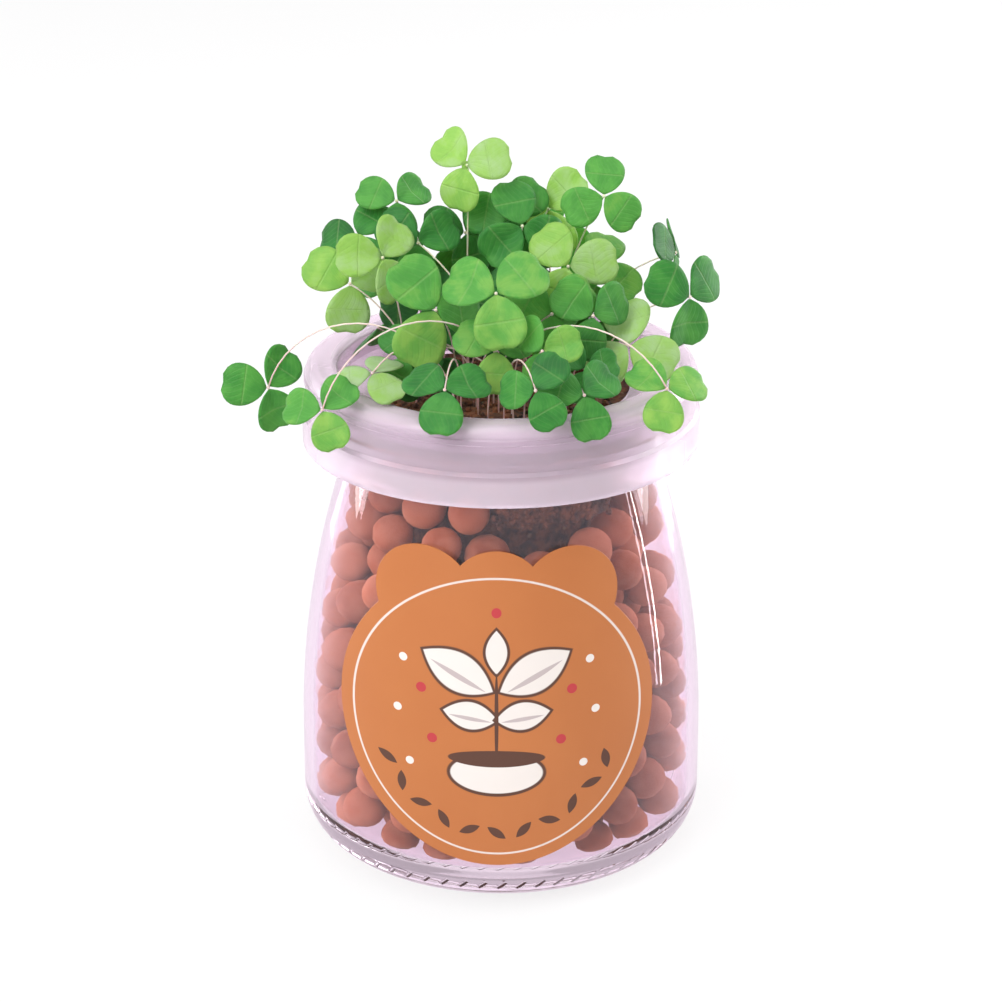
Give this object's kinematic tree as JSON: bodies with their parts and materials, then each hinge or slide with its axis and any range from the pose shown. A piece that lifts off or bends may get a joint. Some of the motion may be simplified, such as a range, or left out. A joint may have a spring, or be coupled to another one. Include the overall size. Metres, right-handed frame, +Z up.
{
  "type": "hydroponic jar planter",
  "caption": "Glass pudding jar packed with clay balls, a soil plug planted with clover seedlings in its mouth, a clear plastic collar round the rim and a round front label.",
  "frame": {"origin": "centre of the foot of the jar, in the plane that it stands on", "axes": "+Z up along the axis of the jar; -Y towards the label and the front; +X to the right of the label"},
  "size_m": [0.0837, 0.071, 0.126],
  "materials": {
    "glass": "clear pressed glass",
    "collar_plastic": "translucent satin moulded plastic",
    "label_paper": "printed matt sticker paper",
    "clay": "matt fired clay",
    "soil": "dark fibrous potting soil",
    "leaf": "soft matt green leaf"
  },
  "bodies": {
    "jar": {"glass_jar": "glass", "front_label": "label_paper", "clay_balls_layer_01": "clay", "clay_balls_layer_02": "clay", "clay_balls_layer_03": "clay", "clay_balls_layer_04": "clay", "clay_balls_layer_05": "clay", "clay_balls_layer_06": "clay", "clay_balls_layer_07": "clay", "clay_balls_layer_08": "clay"},
    "planting": {"soil_plug": "soil", "sprout_back_far_left": "leaf", "sprout_back_left": "leaf", "sprout_back_low_left": "leaf", "sprout_back_low_right": "leaf", "sprout_back_middle": "leaf", "sprout_back_right": "leaf", "sprout_big_front": "leaf", "sprout_big_left": "leaf", "sprout_crown_left": "leaf", "sprout_crown_middle": "leaf", "sprout_crown_right": "leaf", "sprout_far_right": "leaf", "sprout_far_right_blade": "leaf", "sprout_front_left_low": "leaf", "sprout_front_middle": "leaf", "sprout_front_right_low": "leaf", "sprout_heart_low": "leaf", "sprout_heart_shade": "leaf", "sprout_inner_left_dark": "leaf", "sprout_inner_middle": "leaf", "sprout_inner_right": "leaf", "sprout_left_fan": "leaf", "sprout_left_inner": "leaf", "sprout_left_low": "leaf", "sprout_left_upright": "leaf", "sprout_middle_left": "leaf", "sprout_over_rim_far_left": "leaf", "sprout_over_rim_left": "leaf", "sprout_over_rim_right": "leaf", "sprout_right_dark": "leaf", "sprout_right_grey": "leaf", "sprout_right_inner": "leaf", "sprout_right_lime": "leaf", "sprout_right_pale": "leaf", "sprout_right_step": "leaf", "sprout_rim_front_left": "leaf", "sprout_rim_front_middle": "leaf", "sprout_rim_front_right": "leaf", "sprout_rim_left_pale": "leaf", "sprout_upper_behind": "leaf", "sprout_upper_left_dark": "leaf", "sprout_upper_left_inner": "leaf", "sprout_upper_left_tip": "leaf", "sprout_upper_middle": "leaf", "sprout_upper_middle_left": "leaf", "sprout_upper_middle_right": "leaf"},
    "collar": {"rim_collar": "collar_plastic"}
  },
  "joints": [
    {"name": "planting_lift", "type": "slide", "parent": "jar", "child": "planting", "axis": [0, 0, 1], "range_m": [0, 0.06]},
    {"name": "collar_turn", "type": "hinge", "parent": "planting", "child": "collar", "pos_m": [0, 0, 0.08], "axis": [0, 0, 1], "continuous": true}
  ]
}
